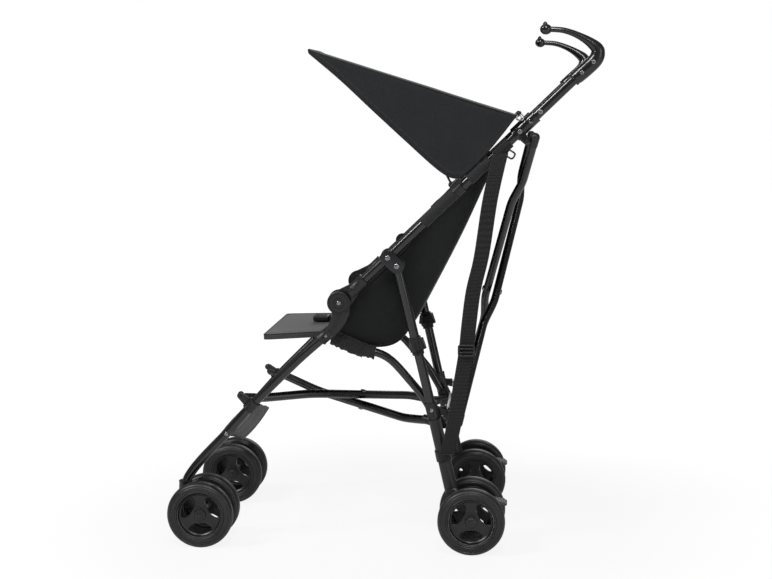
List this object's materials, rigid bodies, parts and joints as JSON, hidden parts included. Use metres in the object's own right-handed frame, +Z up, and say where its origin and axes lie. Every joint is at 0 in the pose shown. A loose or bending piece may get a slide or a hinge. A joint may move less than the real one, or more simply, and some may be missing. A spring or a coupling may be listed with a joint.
{
  "type": "buggy",
  "caption": "Black umbrella-fold buggy with a cloth sling seat, sun canopy, crossed bars, swivelling twin front wheels, rear brakes and hooked handles.",
  "frame": {"origin": "centre of the bounding box's base, on the ground", "axes": "+Z up, -Y the way it is pushed, +X the occupant's left"},
  "size_m": [0.4896, 0.8659, 1.0411],
  "materials": {
    "black_tube": "black powder-coated steel tube, semi-gloss",
    "black_plate": "black powder-coated steel plate, satin",
    "grip": "black moulded plastic handle, fairly glossy",
    "black_plastic": "black moulded nylon, fine grain",
    "grey_plastic": "dark grey moulded plastic",
    "bare_steel": "zinc-plated steel, dull",
    "wheel": "black foamed tyre on a moulded rim",
    "seat_cloth": "black woven polyester, plain weave",
    "canopy_cloth": "black woven polyester, coated",
    "webbing": "black woven webbing",
    "footrest_webbing": "dark grey ribbed webbing"
  },
  "bodies": {
    "seat": {"seat_fabric": "seat_cloth", "seat_board": "seat_cloth"},
    "buckle": {"buckle": "black_plastic", "harness": "webbing"},
    "button": {"buckle_button": "grey_plastic"},
    "canopy": {"canopy": "canopy_cloth", "canopy_bow": "black_tube"},
    "frame_l": {"upper_tube_l": "black_tube", "handle_grip_l": "grip", "x_bracket_upper_l": "black_plastic", "side_bracket_l": "black_plate", "knee_upper_l": "black_plastic", "canopy_clip_l": "black_plastic"},
    "rear_leg_l": {"rear_leg_l": "black_tube", "rear_axle_housing_l": "black_plastic", "rear_leg_bracket_l": "black_plastic", "seat_loop_l": "webbing", "carry_strap": "webbing", "strap_buckle": "black_plastic"},
    "front_leg_l": {"knee_lower_l": "black_plastic", "front_leg_l": "black_tube", "front_bracket_l": "black_plastic", "caster_housing_l": "black_plastic", "footrest": "footrest_webbing"},
    "caster_l": {"caster_fork_l": "black_plastic"},
    "brake_l": {"brake_pedal_l": "grey_plastic"},
    "seat_tube_l": {"seat_tube_l": "black_tube"},
    "lock_link_l": {"lock_link_l": "bare_steel"},
    "rear_x_bar_l": {"rear_x_bar_l": "black_tube"},
    "bottom_x_bar_l": {"bottom_x_bar_l": "black_tube"},
    "wheel_front_outer_l": {"wheel_front_outer_l": "wheel"},
    "wheel_front_inner_l": {"wheel_front_inner_l": "wheel"},
    "wheel_rear_outer_l": {"wheel_rear_outer_l": "wheel"},
    "wheel_rear_inner_l": {"wheel_rear_inner_l": "wheel"},
    "frame_r": {"upper_tube_r": "black_tube", "handle_grip_r": "grip", "x_bracket_upper_r": "black_plastic", "side_bracket_r": "black_plate", "knee_upper_r": "black_plastic", "canopy_clip_r": "black_plastic"},
    "rear_leg_r": {"rear_leg_r": "black_tube", "rear_axle_housing_r": "black_plastic", "rear_leg_bracket_r": "black_plastic", "seat_loop_r": "webbing"},
    "front_leg_r": {"knee_lower_r": "black_plastic", "front_leg_r": "black_tube", "front_bracket_r": "black_plastic", "caster_housing_r": "black_plastic"},
    "caster_r": {"caster_fork_r": "black_plastic"},
    "brake_r": {"brake_pedal_r": "grey_plastic"},
    "seat_tube_r": {"seat_tube_r": "black_tube"},
    "lock_link_r": {"lock_link_r": "bare_steel"},
    "rear_x_bar_r": {"rear_x_bar_r": "black_tube"},
    "bottom_x_bar_r": {"bottom_x_bar_r": "black_tube"},
    "wheel_front_outer_r": {"wheel_front_outer_r": "wheel"},
    "wheel_front_inner_r": {"wheel_front_inner_r": "wheel"},
    "wheel_rear_outer_r": {"wheel_rear_outer_r": "wheel"},
    "wheel_rear_inner_r": {"wheel_rear_inner_r": "wheel"}
  },
  "joints": [
    {"name": "fold", "type": "hinge", "parent": "frame_l", "child": "rear_leg_l", "pos_m": [0.19399, 0.0359, 0.57766], "axis": [-0.996, 0, 0.0896], "range_deg": [0, 50], "deforming": ["seat_fabric", "seat_board", "harness", "canopy", "canopy_bow", "footrest", "carry_strap", "seat_loop_l", "seat_loop_r"]},
    {"name": "fold_frame_l", "type": "hinge", "parent": "seat", "child": "frame_l", "pos_m": [0, 0, -1.57778], "axis": [0, -1, 0], "range_deg": [0, 3.4]},
    {"name": "fold_front_leg_l", "type": "hinge", "parent": "frame_l", "child": "front_leg_l", "pos_m": [0.18727, -0.0801, 0.50297], "axis": [-0.996, 0, 0.0896], "range_deg": [0, 176]},
    {"name": "fold_frame_r", "type": "hinge", "parent": "seat", "child": "frame_r", "pos_m": [0, 0, -1.57778], "axis": [0, 1, 0], "range_deg": [0, 3.4]},
    {"name": "fold_rear_leg_r", "type": "hinge", "parent": "frame_r", "child": "rear_leg_r", "pos_m": [-0.19399, 0.0359, 0.57766], "axis": [-0.996, 0, -0.0896], "range_deg": [0, 50]},
    {"name": "fold_front_leg_r", "type": "hinge", "parent": "frame_r", "child": "front_leg_r", "pos_m": [-0.18727, -0.0801, 0.50297], "axis": [-0.996, 0, -0.0896], "range_deg": [0, 176]},
    {"name": "fold_seat_tube_l", "type": "hinge", "parent": "rear_leg_l", "child": "seat_tube_l", "pos_m": [0.14081, 0.1106, 0.26005], "axis": [-0.996, 0, 0.0896], "range_deg": [0, 24.16]},
    {"name": "fold_seat_tube_r", "type": "hinge", "parent": "rear_leg_r", "child": "seat_tube_r", "pos_m": [-0.14081, 0.1106, 0.26005], "axis": [-0.996, 0, -0.0896], "range_deg": [0, 24.16]},
    {"name": "fold_rear_bar_l", "type": "hinge", "parent": "frame_l", "child": "rear_x_bar_l", "pos_m": [0.21578, 0.2882, 0.81979], "axis": [-0.7508, -0.5581, 0.3534], "range_deg": [0, 31.05]},
    {"name": "fold_low_bar_l", "type": "hinge", "parent": "front_leg_l", "child": "bottom_x_bar_l", "pos_m": [0.16071, -0.2866, 0.30826], "axis": [0.8719, 0.2428, -0.4253], "range_deg": [0, 66.77]},
    {"name": "fold_rear_bar_r", "type": "hinge", "parent": "frame_r", "child": "rear_x_bar_r", "pos_m": [-0.21578, 0.2882, 0.81979], "axis": [-0.7508, 0.5581, -0.3534], "range_deg": [0, 31.05]},
    {"name": "fold_low_bar_r", "type": "hinge", "parent": "front_leg_r", "child": "bottom_x_bar_r", "pos_m": [-0.16071, -0.2866, 0.30826], "axis": [0.8719, -0.2428, 0.4253], "range_deg": [0, 66.77]},
    {"name": "fold_lock_l", "type": "hinge", "parent": "rear_leg_l", "child": "lock_link_l", "pos_m": [0.14768, 0.1349, 0.28062], "axis": [0, 1, 0], "range_deg": [0, 79]},
    {"name": "fold_lock_r", "type": "hinge", "parent": "rear_leg_r", "child": "lock_link_r", "pos_m": [-0.14768, 0.1349, 0.28062], "axis": [0, -1, 0], "range_deg": [0, 79]},
    {"name": "caster_l_swivel", "type": "hinge", "parent": "front_leg_l", "child": "caster_l", "pos_m": [0.168, -0.4041, 0.1007], "axis": [0, 0, 1], "continuous": true},
    {"name": "wheel_front_outer_l_spin", "type": "hinge", "parent": "caster_l", "child": "wheel_front_outer_l", "pos_m": [0.203, -0.3661, 0.0675], "axis": [1, 0, 0], "continuous": true},
    {"name": "wheel_front_inner_l_spin", "type": "hinge", "parent": "caster_l", "child": "wheel_front_inner_l", "pos_m": [0.133, -0.3661, 0.0675], "axis": [1, 0, 0], "continuous": true},
    {"name": "wheel_rear_outer_l_spin", "type": "hinge", "parent": "rear_leg_l", "child": "wheel_rear_outer_l", "pos_m": [0.215, 0.1839, 0.0675], "axis": [1, 0, 0], "continuous": true},
    {"name": "wheel_rear_inner_l_spin", "type": "hinge", "parent": "rear_leg_l", "child": "wheel_rear_inner_l", "pos_m": [0.121, 0.1839, 0.0675], "axis": [1, 0, 0], "continuous": true},
    {"name": "brake_l", "type": "hinge", "parent": "rear_leg_l", "child": "brake_l", "pos_m": [0.168, 0.2009, 0.095], "axis": [-1, 0, 0], "range_deg": [0, 14]},
    {"name": "caster_r_swivel", "type": "hinge", "parent": "front_leg_r", "child": "caster_r", "pos_m": [-0.168, -0.4041, 0.1007], "axis": [0, 0, 1], "continuous": true},
    {"name": "wheel_front_outer_r_spin", "type": "hinge", "parent": "caster_r", "child": "wheel_front_outer_r", "pos_m": [-0.203, -0.3661, 0.0675], "axis": [1, 0, 0], "continuous": true},
    {"name": "wheel_front_inner_r_spin", "type": "hinge", "parent": "caster_r", "child": "wheel_front_inner_r", "pos_m": [-0.133, -0.3661, 0.0675], "axis": [1, 0, 0], "continuous": true},
    {"name": "wheel_rear_outer_r_spin", "type": "hinge", "parent": "rear_leg_r", "child": "wheel_rear_outer_r", "pos_m": [-0.215, 0.1839, 0.0675], "axis": [1, 0, 0], "continuous": true},
    {"name": "wheel_rear_inner_r_spin", "type": "hinge", "parent": "rear_leg_r", "child": "wheel_rear_inner_r", "pos_m": [-0.121, 0.1839, 0.0675], "axis": [1, 0, 0], "continuous": true},
    {"name": "brake_r", "type": "hinge", "parent": "rear_leg_r", "child": "brake_r", "pos_m": [-0.168, 0.2009, 0.095], "axis": [-1, 0, 0], "range_deg": [0, 14]},
    {"name": "canopy_tilt", "type": "hinge", "parent": "seat", "child": "canopy", "pos_m": [0, 0.14277, 0.73774], "axis": [-1, 0, 0], "range_deg": [-20, 5]},
    {"name": "fold_buckle", "type": "slide", "parent": "seat", "child": "buckle", "axis": [0, 0.7259, -0.6877], "range_m": [0, 0.1311]},
    {"name": "buckle_press", "type": "slide", "parent": "buckle", "child": "button", "axis": [0, 0, -1], "range_m": [0, 0.0014], "stiffness_N_per_m": 600, "springref_m": -0.001}
  ],
  "couplings": [
    {"joint": "fold_frame_l", "follows": "fold", "ratio": 0.067884},
    {"joint": "fold_front_leg_l", "follows": "fold", "ratio": 3.52},
    {"joint": "fold_frame_r", "follows": "fold", "ratio": 0.067884},
    {"joint": "fold_rear_leg_r", "follows": "fold", "ratio": 1},
    {"joint": "fold_front_leg_r", "follows": "fold", "ratio": 3.52},
    {"joint": "fold_seat_tube_l", "follows": "fold", "ratio": 0.48317},
    {"joint": "fold_seat_tube_r", "follows": "fold", "ratio": 0.48317},
    {"joint": "fold_rear_bar_l", "follows": "fold", "ratio": 0.62107},
    {"joint": "fold_low_bar_l", "follows": "fold", "ratio": 1.3354},
    {"joint": "fold_rear_bar_r", "follows": "fold", "ratio": 0.62107},
    {"joint": "fold_low_bar_r", "follows": "fold", "ratio": 1.3354},
    {"joint": "fold_lock_l", "follows": "fold", "ratio": 1.58},
    {"joint": "fold_lock_r", "follows": "fold", "ratio": 1.58},
    {"joint": "fold_buckle", "follows": "fold", "m_per_rad": 0.15011}
  ]
}
